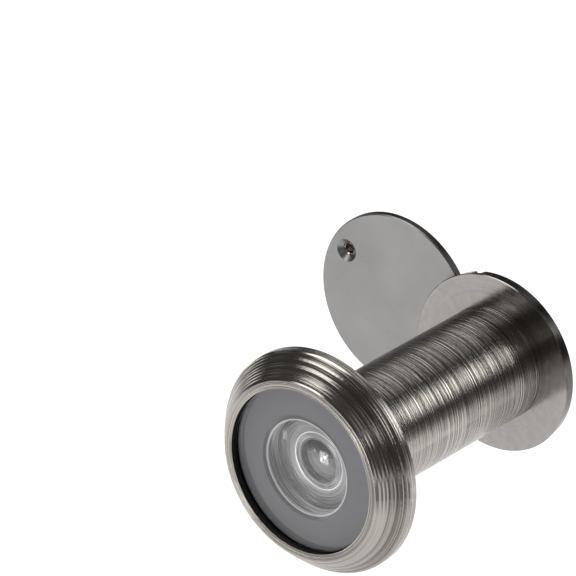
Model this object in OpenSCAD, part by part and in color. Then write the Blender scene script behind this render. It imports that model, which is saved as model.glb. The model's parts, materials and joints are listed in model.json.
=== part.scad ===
// Adjustable door viewer with a swinging eyepiece cover.
// Millimetres. +Y runs along the viewing axis from outdoors to indoors and +Z is up.
// The origin is the centre of the outdoor head's rear seating face.
// The cover is drawn swung open, which is its rest position.

/* [Head and barrel] */
// radius of the outdoor head at its rear rim
head_r = 13.6; // [12:0.1:16]
// depth of the head, from its front lip to its seating face
head_t = 4.4; // [3.6:0.1:6]
// outer radius of the front lip
lip_r = 11.05; // [10.6:0.05:12]
// radius of the glass opening inside the lip
aperture_r = 10.1; // [9:0.1:10.4]
// length of the plain cylindrical rim behind the bevel
rim_band = 1.3; // [0.6:0.1:2]
// how far the bevel bulges from a straight cone
bevel_bulge = 0.05; // [0:0.05:0.8]
// turned grooves on the bevel
bevel_grooves = 9; // [4:1:12]
// depth of one turned groove
groove_depth = 0.05; // [0.02:0.01:0.12]
// outer radius of the barrel
barrel_r = 7; // [6:0.1:9]
// grip between the two seating faces at the shortest setting
grip_min = 30.94; // [28:0.01:40]
// bore radius of the barrel behind its lens shoulder
barrel_bore_r = 6.25; // [5.8:0.05:6.4]

/* [Eyepiece] */
// radius of the indoor flange at its seating face
flange_r = 11.1; // [10:0.1:13]
// how much smaller the flange is at its rear edge
flange_taper = 0.2; // [0:0.05:0.4]
// thickness of the indoor flange
flange_t = 1.56; // [1.2:0.01:2.5]
// thread crest radius of the sleeve
sleeve_r = 6.17; // [5.7:0.01:6.3]
// bore radius of the sleeve
sleeve_bore_r = 4.95; // [4.5:0.05:5.2]
// length of the sleeve in front of the flange
sleeve_len = 22.6; // [18:0.1:24]
// thread pitch
pitch = 1; // [0.75:0.25:1.5]
// thread depth
thread_depth = 0.45; // [0.2:0.01:0.5]
// width of the coin slot across the flange's rear
slot_w = 1.4; // [1:0.1:2.4]
// depth of the coin slot
slot_depth = 1.05; // [0.6:0.01:1.2]

/* [Cover] */
// radius of the swinging cover
cover_r = 11.1; // [10:0.1:13]
// thickness of the cover
cover_t = 1; // [0.6:0.1:1.6]
// distance from the viewing axis to the cover's pivot
pivot_d = 8.7; // [8:0.1:9.5]
// direction of the pivot round the axis, 0 at +X and 90 at +Z
pivot_angle = 195.2; // [0:0.1:360]
// angle the cover is swung open from closed
open_angle = 133.2; // [0:0.1:180]
// radius of the rivet's shank
rivet_r = 0.95; // [0.7:0.05:1.2]

/* [Optics] */
// thickness of the front lens at its edge
lens1_t = 1; // [0.9:0.05:1.3]
// how far the front lens sits behind the lip
lens1_recess = 0.72; // [0.4:0.02:0.9]
// radius of the hollow ground into the front lens's rear
dish_r = 5.76; // [4.5:0.01:6.5]
// depth of that hollow
dish_depth = 0.5; // [0.3:0.05:0.6]

/* [Hidden] */
$fn = 120;
seat_gap = 0.05;
lip_y = -head_t;
recess_r = lip_r - 0.6;
recess_floor = -1.2;
shoulder_r = 5.85;
shoulder_end = -0.9;
stack_r = 6.05;
stack_end = 7.4;
flange_y = grip_min;
flange_back = flange_y + flange_t;
sleeve_front = flange_y - sleeve_len;
cover_y = flange_back + seat_gap;
cover_back = cover_y + cover_t;
relief_r = barrel_r + 0.03;
relief_d = 0.3;
barrel_end = flange_y + relief_d - 0.1;
lip_crown = 0.07;
lens1_y = lip_y + lens1_recess;
lens1_back = lens1_y + lens1_t;
bore_gap = 0.06;
cell_hole_r = 3;
cell_web = -0.24;
cell_back = 4.2;

// a turned solid from a closed [radius, y] profile
module lathe(pts) {
  rotate([-90, 0, 0]) rotate_extrude() polygon(pts);
}

// a plain ring, outer and inner radius, from y0 to y1, with broken outer edges
module ring(ro, ri, y0, y1, c = 0.08) {
  lathe([[ri, y0], [ro - c, y0], [ro, y0 + c], [ro, y1 - c], [ro - c, y1], [ri, y1]]);
}

// a disc at y0 to y1 standing along the axis
module rod(r, y0, y1) {
  translate([0, y0, 0]) rotate([-90, 0, 0]) cylinder(r = r, h = y1 - y0);
}

// moves its children from the viewing axis to the pivot
module at_pivot() {
  translate([pivot_d * cos(pivot_angle), 0, pivot_d * sin(pivot_angle)]) children();
}

// swings its children, drawn closed, open about the pivot
module swung() {
  at_pivot() rotate([0, -open_angle, 0])
    translate([-pivot_d * cos(pivot_angle), 0, -pivot_d * sin(pivot_angle)]) children();
}

// radius of the sphere that is d deep at radius r
function sphere_for(r, d) = (r * r + d * d) / (2 * d);

// points of the domed bevel, from the lip to the rim, with turned grooves
bevel_end = -rim_band;
bevel_h = bevel_end - lip_y;
bevel_w = head_r - lip_r;
bevel_steps = bevel_grooves * 2;
// a shallow arc: the chord from lip to rim plus a bulge square to it
function bevel_at(t) = [lip_r + bevel_w * t, lip_y + bevel_h * t]
  + bevel_bulge * 4 * t * (1 - t) * [bevel_h, -bevel_w] / norm([bevel_h, bevel_w]);
function bevel_pt(i) = bevel_at(i / bevel_steps)
  - (i % 2 == 1 ? groove_depth : 0) * [bevel_h, -bevel_w] / norm([bevel_h, bevel_w]);

module outer_barrel() {
  color([0.62, 0.6, 0.57])
    lathe(concat(
      [[recess_r, recess_floor], [recess_r, lip_y + recess_r - aperture_r + 0.06]],
      // slightly crowned lip
      [for (k = [0:4])
        [aperture_r + (lip_r - 0.03 - aperture_r) * k / 4, lip_y + lip_crown * pow(k / 2 - 1, 2)]],
      [for (i = [1:bevel_steps - 1]) bevel_pt(i)],
      [[head_r - 0.06, bevel_end - 0.03], [head_r, bevel_end + 0.05]],
      [[head_r, -0.2], [head_r - 0.2, 0], [barrel_r, 0]],
      [[barrel_r, barrel_end - 0.15], [barrel_r - 0.15, barrel_end]],
      [[barrel_bore_r + 0.2, barrel_end], [barrel_bore_r, barrel_end - 0.2]],
      [[barrel_bore_r, stack_end + 0.3], [stack_r + 0.03, stack_end]],
      [[stack_r + 0.03, shoulder_end], [shoulder_r, shoulder_end], [shoulder_r, recess_floor]]
    ));
}

module front_seal() {
  color([0.03, 0.03, 0.03])
    lathe([[aperture_r + 0.13, lens1_back], [recess_r - 0.03, lens1_back],
      [recess_r - 0.03, lip_y + 0.42], [recess_r - 0.08, lip_y + 0.37],
      [aperture_r + 0.13, lip_y + 0.37]]);
}

module objective_lens() {
  rs = sphere_for(dish_r, dish_depth);
  color([0.75, 0.8, 0.82, 0.35])
    difference() {
      lathe([[0, lens1_y], [aperture_r - 0.2, lens1_y], [aperture_r + 0.1, lens1_y + 0.3],
        [aperture_r + 0.1, lens1_back], [dish_r + 0.18, lens1_back],
        [dish_r, lens1_back - 0.12], [0, lens1_back - 0.12]]);
      translate([0, lens1_back - 0.12 - dish_depth + rs, 0]) sphere(r = rs);
    }
}

// dark satin ring, very slightly domed, with a bright rounded inner lip
module backing_ring() {
  y0 = lens1_back + 0.03;
  lip = 0.1;
  color([0.16, 0.16, 0.17])
    lathe(concat(
      [for (a = [90:-15:-90]) [dish_r + lip + 0.02 - lip * cos(a), y0 + 0.07 - lip * sin(a)]],
      [[dish_r + 2 * lip, y0 + 0.17], [dish_r + 0.14, y0 + 0.25], [dish_r + 0.14, recess_floor - 0.03],
       [recess_r - 0.05, recess_floor - 0.03]],
      [for (k = [8:-1:0]) [dish_r + 0.34 + (recess_r - dish_r - 0.39) * k / 8, y0 + 0.1 * pow(k / 8, 2)]]));
}

// turned funnel between the front lens and the second lens: two steps, a shallow cone and a bright lip
module second_lens_cell() {
  y0 = shoulder_end + 0.02;
  h = cell_web - y0;
  color([0.35, 0.35, 0.36])
    lathe([[5.6, y0], [5.45, y0 + 0.22 * h], [5.1, y0 + 0.26 * h], [5.05, y0 + 0.4 * h],
      [4.75, y0 + 0.44 * h], [4.7, y0 + 0.56 * h], [3.7, y0 + 0.84 * h],
      [cell_hole_r + 0.16, y0 + 0.78 * h], [cell_hole_r + 0.04, y0 + 0.8 * h],
      [cell_hole_r, y0 + 0.9 * h], [cell_hole_r, cell_web + 0.1], [4.3, cell_web + 0.2],
      [4.3, cell_back], [stack_r - 0.03, cell_back], [stack_r - 0.03, y0]]);
}

module second_lens() {
  rf = 7;
  rb = sphere_for(3.2, 1);
  back = cell_web + 2;
  color([0.75, 0.8, 0.82, 0.35])
    difference() {
      intersection() {
        lathe([[0, -2], [cell_hole_r - 0.06, -2], [cell_hole_r - 0.06, cell_web + 0.25],
          [4.24, cell_web + 0.25], [4.24, back], [0, back]]);
        translate([0, rf - 1, 0]) sphere(r = rf);
      }
      translate([0, back - 1 + rb, 0]) sphere(r = rb);
    }
}

module lens_spacer() {
  color([0.12, 0.12, 0.12]) ring(4.24, 3.6, cell_web + 2.03, cell_back - 0.02, 0.05);
}

module third_lens() {
  rs = 14;
  color([0.75, 0.8, 0.82, 0.35])
    intersection() {
      rod(stack_r - 0.06, cell_back + 0.05, 6.5);
      translate([0, 6.1 - rs, 0]) sphere(r = rs);
    }
}

module stack_retainer() {
  color([0.12, 0.12, 0.12])
    difference() {
      lathe([[4.9, 5.3], [stack_r - 0.04, 4.85], [stack_r - 0.04, stack_end - 0.2],
        [stack_r - 0.14, stack_end - 0.1], [4.9, stack_end - 0.1]]);
      translate([-stack_r - 1, stack_end - 0.7, -0.4]) cube([2 * stack_r + 2, 1, 0.8]);
    }
}

module field_lens() {
  rs = 12;
  color([0.75, 0.8, 0.82, 0.35])
    intersection() {
      rod(sleeve_bore_r - bore_gap, 20, 22.4);
      translate([0, 20.3 + rs, 0]) sphere(r = rs);
    }
}

module ocular_spacer() {
  color([0.12, 0.12, 0.12])
    lathe([[4.3, 22.45], [sleeve_bore_r - bore_gap, 22.45],
      [sleeve_bore_r - bore_gap, 28.5], [4.3, 28.5]]);
}

module ocular_lens() {
  rs = 12;
  color([0.75, 0.8, 0.82, 0.35])
    intersection() {
      rod(sleeve_bore_r - bore_gap, 27.5, 31);
      translate([0, 27.8 + rs, 0]) sphere(r = rs);
      translate([0, 30.7 - rs, 0]) sphere(r = rs);
    }
}

module ocular_stop() {
  color([0.1, 0.1, 0.1])
    lathe([[3.4, 31], [4.1, 30.3], [4.3, 29.95], [sleeve_bore_r - bore_gap, 29.75],
      [sleeve_bore_r - bore_gap, 31.2], [3.4, 31.2]]);
}

// the sleeve's thread is drawn as plain rings of its real depth and pitch
thread_from = sleeve_front + 0.5;
thread_to = flange_y - 2.2;
thread_n = floor((thread_to - thread_from) / pitch);

module eyepiece_sleeve() {
  color([0.62, 0.6, 0.57])
    difference() {
      lathe(concat(
        [[sleeve_bore_r, sleeve_front], [sleeve_r - 0.4, sleeve_front]],
        [for (i = [0:thread_n - 1]) for (k = [0:1])
          [sleeve_r - (k == 0 ? thread_depth : 0), thread_from + pitch * (i + k * 0.5)]],
        [[sleeve_r - thread_depth, thread_from + pitch * thread_n],
         [sleeve_r - thread_depth, flange_y + relief_d], [relief_r, flange_y + relief_d],
         [relief_r, flange_y], [flange_r - 0.08, flange_y], [flange_r, flange_y + 0.08],
         [flange_r - flange_taper, flange_back - 0.15], [flange_r - flange_taper - 0.15, flange_back],
         [sleeve_bore_r + 0.35, flange_back], [sleeve_bore_r + 0.1, flange_back - 0.25],
         [sleeve_bore_r + 0.1, flange_back - 1.2], [sleeve_bore_r, flange_back - 1.2],
         [sleeve_bore_r, 20.2], [sleeve_bore_r - 0.35, 20.2], [sleeve_bore_r - 0.35, sleeve_front + 0.3]]));
      // coin slot across the rear, at right angles to the pivot
      rotate([0, -(pivot_angle - 90), 0])
        translate([-flange_r - 1, flange_back - slot_depth, -slot_w / 2])
          cube([2 * flange_r + 2, slot_depth + 1, slot_w]);
      // stepped seat for the cover's rivet
      at_pivot() rod(rivet_r - 0.2, flange_y - 1, flange_back + 1);
    }
}

module ocular_retainer() {
  color([0.14, 0.14, 0.14])
    difference() {
      lathe([[3.9, flange_back - 1.2], [sleeve_bore_r + 0.06, flange_back - 1.18],
        [sleeve_bore_r + 0.06, flange_back - 0.35], [4.3, flange_back - 0.35], [3.9, flange_back - 0.7]]);
      rotate([0, -(pivot_angle - 90), 0])
        translate([-6, flange_back - 0.8, -0.5]) cube([12, 1, 1]);
    }
}

module pivot_rivet() {
  y0 = flange_y + 0.05;
  head_y = cover_back + 0.42;
  color([0.66, 0.64, 0.6])
    at_pivot() lathe([[0, y0], [rivet_r - 0.22, y0], [rivet_r - 0.22, flange_back + 0.01],
      [rivet_r, flange_back + 0.01], [rivet_r, head_y], [2, head_y], [2.05, head_y + 0.2],
      [1.75, head_y + 0.5], [1.1, head_y + 0.68], [0, head_y + 0.72]]);
}

module spring_washer() {
  y0 = cover_back + 0.03;
  color([0.55, 0.55, 0.55])
    at_pivot() lathe([[rivet_r + 0.08, y0 + 0.2], [1.9, y0], [1.92, y0 + 0.14], [rivet_r + 0.08, y0 + 0.34]]);
}

module cover_disc() {
  c = 0.15;
  far = pivot_d;
  color([0.6, 0.6, 0.59])
    swung() difference() {
      lathe([[0, cover_y], [cover_r - c, cover_y], [cover_r, cover_y + c], [cover_r, cover_back - c],
        [cover_r - c, cover_back], [0, cover_back]]);
      at_pivot() rod(rivet_r + 0.05, cover_y - 1, cover_back + 1);
      // countersunk hole for the knob, opposite the pivot
      translate([-far * cos(pivot_angle), 0, -far * sin(pivot_angle)])
        lathe([[0, cover_y - 0.1], [1.55, cover_y - 0.1], [1.45, cover_y], [0.85, cover_y + 0.55],
          [0.85, cover_back + 0.1], [0, cover_back + 0.1]]);
    }
}

module cover_knob() {
  far = pivot_d;
  color([0.66, 0.64, 0.6])
    swung() translate([-far * cos(pivot_angle), 0, -far * sin(pivot_angle)])
      lathe([[0, cover_back + 0.9], [0.58, cover_back + 0.7], [0.62, cover_y + 0.62],
        [0.72, cover_y + 0.5], [0.82, cover_y + 0.6],
        [0.82, cover_back + 0.02], [1.5, cover_back + 0.02], [1.3, cover_back + 0.6],
        [1.35, cover_back + 1.1], [1.9, cover_back + 1.7], [1.85, cover_back + 2.2],
        [1.2, cover_back + 2.5], [0, cover_back + 2.6]]);
}

outer_barrel();
front_seal();
objective_lens();
backing_ring();
second_lens_cell();
second_lens();
lens_spacer();
third_lens();
stack_retainer();
field_lens();
ocular_spacer();
ocular_lens();
ocular_stop();
eyepiece_sleeve();
ocular_retainer();
pivot_rivet();
spring_washer();
cover_disc();
cover_knob();
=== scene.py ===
"""Looks for the adjustable door viewer: turned satin nickel, optical glass and a plain white studio."""

import json
import math

import bpy
from mathutils import Matrix, Vector

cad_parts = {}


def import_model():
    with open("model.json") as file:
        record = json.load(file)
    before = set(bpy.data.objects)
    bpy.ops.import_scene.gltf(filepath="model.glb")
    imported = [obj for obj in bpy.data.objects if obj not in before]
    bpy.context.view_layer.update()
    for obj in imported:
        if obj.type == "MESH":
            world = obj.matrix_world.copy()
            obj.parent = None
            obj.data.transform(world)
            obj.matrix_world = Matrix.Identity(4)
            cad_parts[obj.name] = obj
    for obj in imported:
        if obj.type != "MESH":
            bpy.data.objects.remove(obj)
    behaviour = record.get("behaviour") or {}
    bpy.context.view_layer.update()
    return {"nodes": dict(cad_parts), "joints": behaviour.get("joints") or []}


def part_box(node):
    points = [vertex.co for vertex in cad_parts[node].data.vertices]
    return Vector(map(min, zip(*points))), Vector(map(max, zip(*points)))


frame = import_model()
scene = bpy.context.scene
scene.view_settings.view_transform = "Standard"


# ---------------------------------------------------------------- camera
CAMERA_AT = (0.39344, -0.48174, 0.32917)


def make_camera():
    """Long lens, high and to the right of the outdoor head."""
    azimuth, elevation = math.radians(39.615), math.radians(26.317)
    back = Vector((math.sin(azimuth) * math.cos(elevation),
                   -math.cos(azimuth) * math.cos(elevation), math.sin(elevation)))
    data = bpy.data.cameras.new("camera")
    data.sensor_width, data.lens = 36.0, 387.1
    data.clip_start, data.clip_end = 0.01, 50.0
    cam = bpy.data.objects.new("camera", data)
    cam.location = CAMERA_AT
    cam.rotation_mode = "QUATERNION"
    cam.rotation_quaternion = (-back).to_track_quat("-Z", "Y")
    scene.collection.objects.link(cam)
    scene.camera = cam


# ---------------------------------------------------------------- node helpers
class Nodes:
    """Short calls for building a node tree."""

    def __init__(self, tree):
        self.tree = tree
        self.links = tree.links

    def put(self, socket, value):
        if isinstance(value, bpy.types.NodeSocket):
            self.links.new(value, socket)
        elif value is not None:
            socket.default_value = value

    def add(self, kind, inputs=None, **settings):
        n = self.tree.nodes.new(kind)
        for k, v in settings.items():
            setattr(n, k, v)
        for k, v in (inputs or {}).items():
            self.put(n.inputs[k], v)
        return n

    def math(self, op, a, b=None, c=None):
        n = self.tree.nodes.new("ShaderNodeMath")
        n.operation = op
        for i, v in enumerate((a, b, c)):
            self.put(n.inputs[i], v)
        return n.outputs[0]

    def vector(self, x=0.0, y=0.0, z=0.0):
        return self.add("ShaderNodeCombineXYZ", {0: x, 1: y, 2: z}).outputs[0]

    def noise(self, vector, scale=1.0, detail=2.0, rough=0.5):
        n = self.add("ShaderNodeTexNoise", {"Vector": vector, "Scale": scale,
                                            "Detail": detail, "Roughness": rough})
        return n.outputs["Fac"]

    def range(self, value, a, b, c, d):
        """Maps a..b to c..d and stops at both ends."""
        n = self.add("ShaderNodeMapRange", {"Value": value, "From Min": a, "From Max": b,
                                            "To Min": c, "To Max": d}, clamp=True)
        return n.outputs[0]

    def mix(self, fac, a, b):
        n = self.add("ShaderNodeMix", data_type="RGBA")
        self.put(n.inputs[0], fac)
        self.put(n.inputs[6], a)
        self.put(n.inputs[7], b)
        return n.outputs[2]

    def bump(self, height, strength, distance):
        n = self.add("ShaderNodeBump", {"Height": height, "Strength": strength, "Distance": distance})
        return n.outputs["Normal"]


def material(name, base, rough, metallic=1.0, **sockets):
    """A Principled material and its helper, with uniform values on the shader's own sockets."""
    m = bpy.data.materials.new(name)
    m.use_nodes = True
    n = Nodes(m.node_tree)
    shader = m.node_tree.nodes["Principled BSDF"]
    shader.inputs["Base Color"].default_value = (*base, 1)
    shader.inputs["Roughness"].default_value = rough
    shader.inputs["Metallic"].default_value = metallic
    for k, v in sockets.items():
        shader.inputs[k.replace("_", " ")].default_value = v
    return m, n, shader


def around(n, centre=(0.0, 0.0)):
    """Cylindrical coordinates about the line along Y through centre (x, z), in metres:
    the unit direction from it (as two sockets), the radius and the depth along Y."""
    position = n.add("ShaderNodeTexCoord").outputs["Object"]
    split = n.add("ShaderNodeSeparateXYZ", {0: position})
    x = n.math("SUBTRACT", split.outputs[0], centre[0])
    z = n.math("SUBTRACT", split.outputs[2], centre[1])
    r = n.math("SQRT", n.math("ADD", n.math("MULTIPLY", x, x), n.math("MULTIPLY", z, z)))
    safe = n.math("MAXIMUM", r, 1e-5)
    return n.math("DIVIDE", x, safe), n.math("DIVIDE", z, safe), r, split.outputs[1], position


def painted_dark_rim(n, colour, r, radius, tone=0.055, amount=0.85):
    """Paints a dark reflection on the rim band beyond radius metres, on faces that turn away from Y.
    tone is how dark it gets, and amount is how much of the plating's own colour is lost."""
    normal = n.add("ShaderNodeSeparateXYZ", {0: n.add("ShaderNodeTexCoord").outputs["Normal"]})
    side = n.range(n.math("ABSOLUTE", normal.outputs[1]), 0.45, 0.75, 1.0, 0.0)
    on = n.math("MULTIPLY", side, n.math("GREATER_THAN", r, radius))
    return n.mix(n.math("MULTIPLY", on, amount), colour, (tone, tone * 0.92, tone * 0.84, 1))


# ---------------------------------------------------------------- metals
def turned_metal(name, base, rough, lines, centre=(0.0, 0.0), depth=0.00002,
                 arc=0.55, dark=0.35, rim=None, painted_glint_at=None):
    """Metal finished on a lathe: fine lines run round the axis, each fading in and out along its arc.
    lines is how many there are in a metre, depth is how deep they are, a smaller arc makes them longer
    and dark is how strongly their bottoms are painted darker (painted shade) and their tops lighter
    (painted sheen).
    Beyond the radius rim the rim band gets a painted dark reflection, and the last argument is the
    radius of a thin painted highlight ring."""
    m, n, shader = material(name, base, rough, Anisotropic=0.6, Anisotropic_Rotation=0.25)
    cx, cz, r, y, position = around(n, centre)
    along = n.math("SUBTRACT", y, r)

    def rings(turns, count, detail, shift):
        across = n.math("MULTIPLY_ADD", along, count, shift)
        spot = n.vector(n.math("MULTIPLY", cx, turns), across, n.math("MULTIPLY", cz, turns))
        return n.noise(spot, 1.0, detail, 0.6)

    coarse = rings(arc, lines, 2.0, 0.0)
    fine = rings(arc * 1.7, lines * 2.6, 1.0, 7.0)
    broad = rings(arc * 0.5, lines * 0.22, 2.0, 19.0)
    streak = n.math("MULTIPLY_ADD", coarse, 0.7, n.math("MULTIPLY", fine, 0.3))
    # painted shade: the bottoms of the lines are darkened and browned, more where the broad noise is
    # low
    low = n.range(streak, 0.4, 0.51, dark, 0.0)
    low = n.math("MULTIPLY", low, n.range(broad, 0.4, 0.6, 1.0, 0.35))
    warm = n.mix(n.range(broad, 0.35, 0.65, 0.0, 0.6), (*base, 1),
                 (base[0] * 1.05, base[1] * 0.985, base[2] * 0.9, 1))
    colour = n.mix(low, warm, (base[0] * 0.24, base[1] * 0.2, base[2] * 0.17, 1))
    # painted sheen: the tops of the lines are lightened
    colour = n.mix(n.range(streak, 0.52, 0.62, 0.0, dark), colour,
                   (base[0] * 1.75, base[1] * 1.7, base[2] * 1.6, 1))
    # painted highlight: convex edges are coloured lighter, in patches like rubbed plating
    edge = n.range(n.add("ShaderNodeNewGeometry").outputs["Pointiness"], 0.52, 0.6, 0.0, 0.5)
    blotch = n.noise(position, 900.0, 3.0, 0.5)
    edge = n.math("MULTIPLY", edge, n.range(blotch, 0.35, 0.6, 0.3, 1.0))
    colour = n.mix(edge, colour, tuple(min(1.0, c * 1.5) for c in base) + (1,))
    # painted dark reflection on the rim band beyond the radius rim
    if rim:
        colour = painted_dark_rim(n, colour, r, rim)
    # painted highlight: a thin near-white ring at one radius
    if painted_glint_at:
        off = n.math("ABSOLUTE", n.math("SUBTRACT", r, painted_glint_at))
        colour = n.mix(n.range(off, 0.00004, 0.00009, 1.0, 0.0), colour, (0.96, 0.96, 0.95, 1))
    n.put(shader.inputs["Base Color"], colour)
    n.put(shader.inputs["Roughness"],
          n.math("ADD", n.range(streak, 0.35, 0.65, rough + 0.07, rough - 0.05),
                 n.range(blotch, 0.4, 0.7, 0.0, 0.04)))
    n.put(shader.inputs["Normal"], n.bump(streak, 1.0, depth))
    tangent = n.add("ShaderNodeTangent", direction_type="RADIAL", axis="Y")
    n.put(shader.inputs["Tangent"], tangent.outputs[0])
    return m


def grained_metal(name, base, rough, scale=2600.0, centre=(0.0, 0.0), rim=1.0):
    """Tumbled flat plate: tiny pits and a faint haze, no direction. Beyond the radius rim the rim band
    gets a painted dark reflection.
    """
    m, n, shader = material(name, base, rough)
    cx, cz, r, y, position = around(n, centre)
    grain = n.noise(position, scale, 4.0, 0.7)
    haze = n.noise(position, 140.0, 3.0, 0.55)
    pits = n.add("ShaderNodeTexVoronoi", {"Vector": position, "Scale": scale * 0.6}).outputs["Distance"]
    pit = n.range(pits, 0.05, 0.22, 1.0, 0.0)
    pit = n.math("MULTIPLY", pit, n.range(grain, 0.5, 0.62, 0.0, 0.6))
    hazy = tuple(c * 0.86 for c in base) + (1,)
    colour = n.mix(n.range(haze, 0.35, 0.65, 0.0, 0.5), (*base, 1), hazy)
    colour = n.mix(pit, colour, tuple(c * 0.55 for c in base) + (1,))
    # painted dark reflection on the rim band beyond the radius rim
    n.put(shader.inputs["Base Color"], painted_dark_rim(n, colour, r, rim, 0.016, 0.97))
    n.put(shader.inputs["Roughness"],
          n.math("ADD", n.range(haze, 0.3, 0.7, rough - 0.04, rough + 0.05),
                 n.range(grain, 0.4, 0.7, 0.0, 0.06)))
    n.put(shader.inputs["Normal"], n.bump(n.math("SUBTRACT", grain, pit), 0.35, 0.000006))
    return m


def black_part(name, base, rough, metallic, scale):
    """Black rubber or anodised metal with a fine uneven surface."""
    m, n, shader = material(name, base, rough, metallic)
    cx, cz, r, y, position = around(n)
    grain = n.noise(position, scale, 3.0, 0.6)
    along = n.math("MULTIPLY", n.math("SUBTRACT", y, r), 9000.0)
    rings = n.noise(n.vector(0.0, along, 0.0), 1.0, 2.0)
    worn = tuple(c * 1.9 + 0.004 for c in base) + (1,)
    n.put(shader.inputs["Base Color"], n.mix(n.range(grain, 0.35, 0.65, 0.0, 1.0), (*base, 1), worn))
    n.put(shader.inputs["Roughness"], n.range(grain, 0.3, 0.7, rough - 0.08, rough + 0.1))
    n.put(shader.inputs["Normal"], n.bump(n.math("ADD", grain, rings), 0.4, 0.000008))
    return m


def dark_ring(name, base, lip_radius, lip_depth):
    """Dark grey satin ring behind the front lens, faintly turned. Within lip_radius metres of the axis
    its inner lip, in front of lip_depth, and the wall behind it are light."""
    m, n, shader = material(name, base, 0.55, 0.0, Specular_IOR_Level=0.15)
    cx, cz, r, y, position = around(n)
    rings = n.noise(n.vector(cx, n.math("MULTIPLY", r, 2500.0), cz), 1.0, 2.0)
    tone = n.noise(position, 160.0, 2.0, 0.5)
    dark = n.mix(n.range(tone, 0.3, 0.7, 0.0, 1.0), (*base, 1),
                 tuple(c * 0.92 for c in base) + (1,))
    dark = n.mix(n.range(rings, 0.3, 0.7, 0.0, 0.2), dark, tuple(c * 0.75 for c in base) + (1,))
    bare = n.math("LESS_THAN", r, lip_radius)
    wall = n.math("GREATER_THAN", y, lip_depth)
    lines = n.noise(n.vector(cx, n.math("MULTIPLY", y, 6000.0), cz), 1.0, 2.0)
    wall_colour = n.mix(n.range(lines, 0.4, 0.6, 0.0, 1.0),
                        (0.85, 0.85, 0.87, 1), (0.4, 0.4, 0.42, 1))
    light = n.mix(wall, (0.95, 0.95, 0.94, 1), wall_colour)
    n.put(shader.inputs["Base Color"], n.mix(bare, dark, light))
    n.put(shader.inputs["Roughness"], n.range(tone, 0.3, 0.7, 0.5, 0.6))
    n.put(shader.inputs["Normal"], n.bump(rings, 0.2, 0.000002))
    return m


def glass(name, edge_radius=None, rim=None, index=1.52):
    """Optical glass. Beyond edge_radius the ground edge is blackened, and rim is the inner and outer
    radius of a ground bevel that catches the light. Shadow and diffuse rays go straight through."""
    m, n, shader = material(name, (0.985, 0.99, 0.995), 0.0, 0.0, Transmission_Weight=1.0, IOR=index)
    cx, cz, r, y, position = around(n)
    smear = n.noise(position, 260.0, 3.0, 0.6)
    n.put(shader.inputs["Roughness"], n.range(smear, 0.45, 0.75, 0.0, 0.035))
    out = m.node_tree.nodes["Material Output"]
    surface = shader.outputs[0]
    if rim:
        ground = n.add("ShaderNodeBsdfDiffuse", {"Color": (0.9, 0.9, 0.9, 1), "Roughness": 0.3})
        inner, outer = rim
        on = n.math("MULTIPLY", n.math("GREATER_THAN", r, inner), n.math("LESS_THAN", r, outer))
        normal = n.add("ShaderNodeNewGeometry").outputs["True Normal"]
        facing = n.math("ABSOLUTE", n.add("ShaderNodeSeparateXYZ", {0: normal}).outputs[1])
        on = n.math("MULTIPLY", on, n.math("LESS_THAN", facing, 0.93))
        mixed = n.add("ShaderNodeMixShader", {0: on, 1: surface, 2: ground.outputs[0]})
        surface = mixed.outputs[0]
    path = n.add("ShaderNodeLightPath")
    straight = n.math("MAXIMUM", path.outputs["Is Shadow Ray"], path.outputs["Is Diffuse Ray"])
    clear = n.add("ShaderNodeBsdfTransparent", {"Color": (0.92, 0.92, 0.92, 1)})
    mixed = n.add("ShaderNodeMixShader", {0: straight, 1: surface, 2: clear.outputs[0]})
    surface = mixed.outputs[0]
    if edge_radius:
        black = n.add("ShaderNodeBsdfDiffuse", {"Color": (0.006, 0.006, 0.006, 1)})
        mixed = n.add("ShaderNodeMixShader", {0: n.math("GREATER_THAN", r, edge_radius),
                                              1: surface, 2: black.outputs[0]})
        surface = mixed.outputs[0]
    n.links.new(surface, out.inputs["Surface"])
    return m


# ---------------------------------------------------------------- studio
FLOOR_SIZE, FLOOR_LEVEL = 30.0, -0.3
DOOR_LINE = (0.0, 0.17)        # where the floor's light is strongest
FLOOR_SHADOW_SPOT = (0.56, -0.69)         # centre of a painted shadow in the floor's glow, on the camera's side


def distance_to(n, position, x, y):
    """Distance on the floor from the point (x, y), in metres."""
    flat = n.add("ShaderNodeVectorMath", {0: position, 1: (1, 1, 0)}, operation="MULTIPLY").outputs[0]
    return n.add("ShaderNodeVectorMath", {0: flat, 1: (x, y, 0)}, operation="DISTANCE").outputs["Value"]


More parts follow.
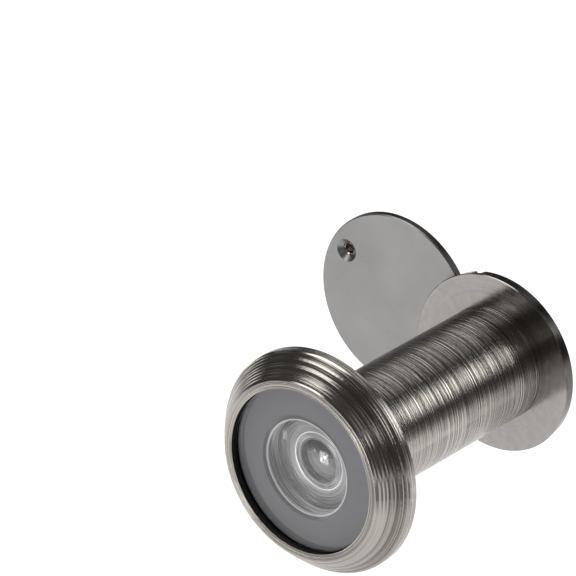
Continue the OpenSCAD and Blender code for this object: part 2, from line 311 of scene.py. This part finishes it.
def floor():
    """A large pale floor well below the viewer. It looks evenly lit, and vanishes when seen from
    underneath."""
    bpy.ops.mesh.primitive_grid_add(size=FLOOR_SIZE, x_subdivisions=2, y_subdivisions=2,
                                    location=(0, 0, FLOOR_LEVEL))
    f = bpy.context.object
    f.name = "floor"
    m = bpy.data.materials.new("pale_floor")
    m.use_nodes = True
    n = Nodes(m.node_tree)
    shader = m.node_tree.nodes["Principled BSDF"]
    position = n.add("ShaderNodeTexCoord").outputs["Object"]
    tone = n.noise(position, 3.0, 2.0, 0.5)
    n.put(shader.inputs["Base Color"], n.mix(tone, (0.3, 0.3, 0.3, 1), (0.33, 0.33, 0.33, 1)))
    shader.inputs["Roughness"].default_value = 0.8
    shader.inputs["Specular IOR Level"].default_value = 0.0
    shader.inputs["Emission Color"].default_value = (1, 1, 1, 1)
    # the light that the floor gives the metal fades with distance, and a painted shadow darkens it
    # round one spot on the camera's side
    glow = n.range(distance_to(n, position, *DOOR_LINE), 1.0, 3.4, 1.0, 0.1)
    glow = n.math("MULTIPLY", glow, n.range(distance_to(n, position, *FLOOR_SHADOW_SPOT), 0.34, 0.54, 0.18, 1.0))
    glow = n.math("MAXIMUM", glow, n.add("ShaderNodeLightPath").outputs["Is Camera Ray"])
    n.put(shader.inputs["Emission Strength"], n.math("MULTIPLY", glow, 0.98))
    clear = n.add("ShaderNodeBsdfTransparent")
    behind = n.add("ShaderNodeNewGeometry").outputs["Backfacing"]
    mixed = n.add("ShaderNodeMixShader", {0: behind, 1: shader.outputs[0], 2: clear.outputs[0]})
    n.links.new(mixed.outputs[0], m.node_tree.nodes["Material Output"].inputs["Surface"])
    f.data.materials.append(m)


def world(level):
    """Dark room for reflections, plain pale ground where the camera sees past the floor."""
    w = bpy.data.worlds.new("studio")
    scene.world = w
    w.use_nodes = True
    n = Nodes(w.node_tree)
    dark = w.node_tree.nodes["Background"]
    dark.inputs[0].default_value = (1.0, 0.97, 0.94, 1)
    dark.inputs[1].default_value = level
    pale = n.add("ShaderNodeBackground", {"Color": (1, 1, 1, 1), "Strength": 1.0})
    seen = n.add("ShaderNodeLightPath").outputs["Is Camera Ray"]
    mixed = n.add("ShaderNodeMixShader", {0: seen, 1: dark.outputs[0], 2: pale.outputs[0]})
    n.links.new(mixed.outputs[0], w.node_tree.nodes["World Output"].inputs["Surface"])


def softbox(name, direction, width, height, glow, distance=1.5, soft=0.25):
    """A glowing panel that faces the origin from that direction and distance, and that the camera
    doesn't see. Width and height are its sides in metres. Its outer part, the share soft of each half
    side, fades to nothing."""
    d = Vector(direction).normalized()
    mesh = bpy.data.meshes.new(name)
    w, h = width / 2, height / 2
    mesh.from_pydata([(-w, -h, 0), (w, -h, 0), (w, h, 0), (-w, h, 0)], [], [(0, 1, 2, 3)])
    o = bpy.data.objects.new(name, mesh)
    scene.collection.objects.link(o)
    turn = d.to_track_quat("Z", "Y").to_matrix().to_4x4()
    o.matrix_world = Matrix.Translation(d * distance) @ turn
    m = bpy.data.materials.new(name)
    m.use_nodes = True
    n = Nodes(m.node_tree)
    m.node_tree.nodes.remove(m.node_tree.nodes["Principled BSDF"])
    split = n.add("ShaderNodeSeparateXYZ", {0: n.add("ShaderNodeTexCoord").outputs["Object"]})
    fade = 1.0
    for i, half in ((0, w), (1, h)):
        side = n.math("DIVIDE", n.math("ABSOLUTE", split.outputs[i]), half)
        fade = n.math("MULTIPLY", fade, n.range(side, 1.0 - soft, 1.0, 1.0, 0.0))
    light = n.add("ShaderNodeEmission", {"Color": (1, 1, 1, 1),
                                         "Strength": n.math("MULTIPLY", fade, glow)})
    n.links.new(light.outputs[0], m.node_tree.nodes["Material Output"].inputs["Surface"])
    o.data.materials.append(m)
    o.visible_camera = False


ROOM_LIGHT = 0.085             # the dark room's own glow, seen only in reflections
NEAR = 0.75                    # the small panels' distance, in metres

make_camera()
world(ROOM_LIGHT)
floor()
# round the door's side of the viewer: the bands of light along the barrel
softbox("box_back_right", (0.562, 0.69, 0.455), 1.0, 0.85, 5.0, soft=0.5)
softbox("box_back_left", (-0.235, 0.69, 0.683), 1.35, 0.7, 1.8, soft=0.35)
# above and to the left of the head: its bevel
softbox("box_top_front", (-0.38, -0.41, 0.83), 1.0, 1.0, 3.0, soft=0.3)
softbox("box_left_low", (-0.96, 0.26, -0.02), 0.6, 0.4, 1.7)
# straight ahead of it: the highlights in the small lens
softbox("box_ahead", (-0.32, -0.9, -0.27), 0.1, 0.12, 13.0, distance=NEAR, soft=0.4)
softbox("box_left_small", (-0.794, -0.562, -0.2), 0.09, 0.09, 4.0, distance=NEAR, soft=0.4)
# the camera's side and the far left: weak fills
softbox("box_near_camera", (0.45, -0.85, 0.28), 0.35, 0.35, 1.6, soft=0.4)
softbox("fill_camera_side", (0.62, -0.36, 0.7), 1.3, 1.1, 0.42, soft=0.6)
softbox("fill_left", (-0.9, 0.0, 0.42), 0.9, 0.6, 0.2, soft=0.5)

# ---------------------------------------------------------------- materials on the pieces
NICKEL = (0.345, 0.332, 0.315)
# radii and depths in metres, from the part's own sizes
FLANGE_PAINTED_RIM, COVER_PAINTED_RIM = 0.0105, 0.0108      # radii beyond which the rim bands get a painted dark reflection
LENS_EDGE = 0.01008                         # blackened edge of the front lens
LENS_BEVEL = (0.0057, 0.00592)              # ground bevel round its hollow
RING_LIP, RING_LIP_DEPTH = 0.00597, -0.00246
CELL_PAINTED_GLINT = 0.0038                          # radius of a painted highlight ring in the funnel
SMALL_LENS_BEVEL = (0.00286, 0.00305)
cover_pivot = next(j for j in frame["joints"] if j["name"] == "cover_swing")["pos_m"]


def centre_of(node):
    """The middle of a piece seen along Y, as (x, z)."""
    low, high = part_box(node)
    return (low.x + high.x) / 2, (low.z + high.z) / 2



looks = {
    "outer_barrel": turned_metal("turned_nickel", NICKEL, 0.15, 4800.0, depth=0.0002, arc=0.1,
                                 dark=1.0),
    "eyepiece_sleeve": turned_metal("turned_nickel_flange", (0.3, 0.291, 0.287), 0.13, 4200.0,
                                    depth=0.000003, dark=0.04, rim=FLANGE_PAINTED_RIM),
    "cover_disc": grained_metal("plate_nickel", (0.31, 0.305, 0.3), 0.34,
                                centre=centre_of("cover_disc"), rim=COVER_PAINTED_RIM),
    "pivot_rivet": turned_metal("rivet_nickel", (0.5, 0.48, 0.45), 0.18, 4000.0,
                                centre=(cover_pivot[0], cover_pivot[2]), depth=0.000004, dark=0.2),
    "cover_knob": turned_metal("knob_nickel", (0.46, 0.44, 0.42), 0.2, 4000.0,
                               centre=centre_of("cover_knob"), depth=0.000004, dark=0.3),
    "spring_washer": grained_metal("spring_steel", (0.35, 0.35, 0.36), 0.35),
    "front_seal": black_part("seal_rubber", (0.012, 0.012, 0.012), 0.5, 0.0, 3000.0),
    "backing_ring": dark_ring("dark_satin_ring", (0.178, 0.177, 0.193), RING_LIP, RING_LIP_DEPTH),
    "second_lens_cell": turned_metal("turned_aluminium", (0.3, 0.3, 0.315), 0.34, 3000.0,
                                     depth=0.00003, dark=0.6, painted_glint_at=CELL_PAINTED_GLINT),
}
black_anodised = black_part("black_anodised", (0.015, 0.015, 0.017), 0.38, 0.6, 5000.0)
for name in ("lens_spacer", "stack_retainer", "ocular_spacer", "ocular_stop", "ocular_retainer"):
    looks[name] = black_anodised
lens_glass = glass("lens_glass")
for name in ("third_lens", "field_lens", "ocular_lens"):
    looks[name] = lens_glass
looks["second_lens"] = glass("second_lens_glass", rim=SMALL_LENS_BEVEL, index=1.85)
looks["objective_lens"] = glass("objective_glass", LENS_EDGE, LENS_BEVEL)

for name, look in looks.items():
    slots = frame["nodes"][name].data.materials
    slots.clear()
    slots.append(look)
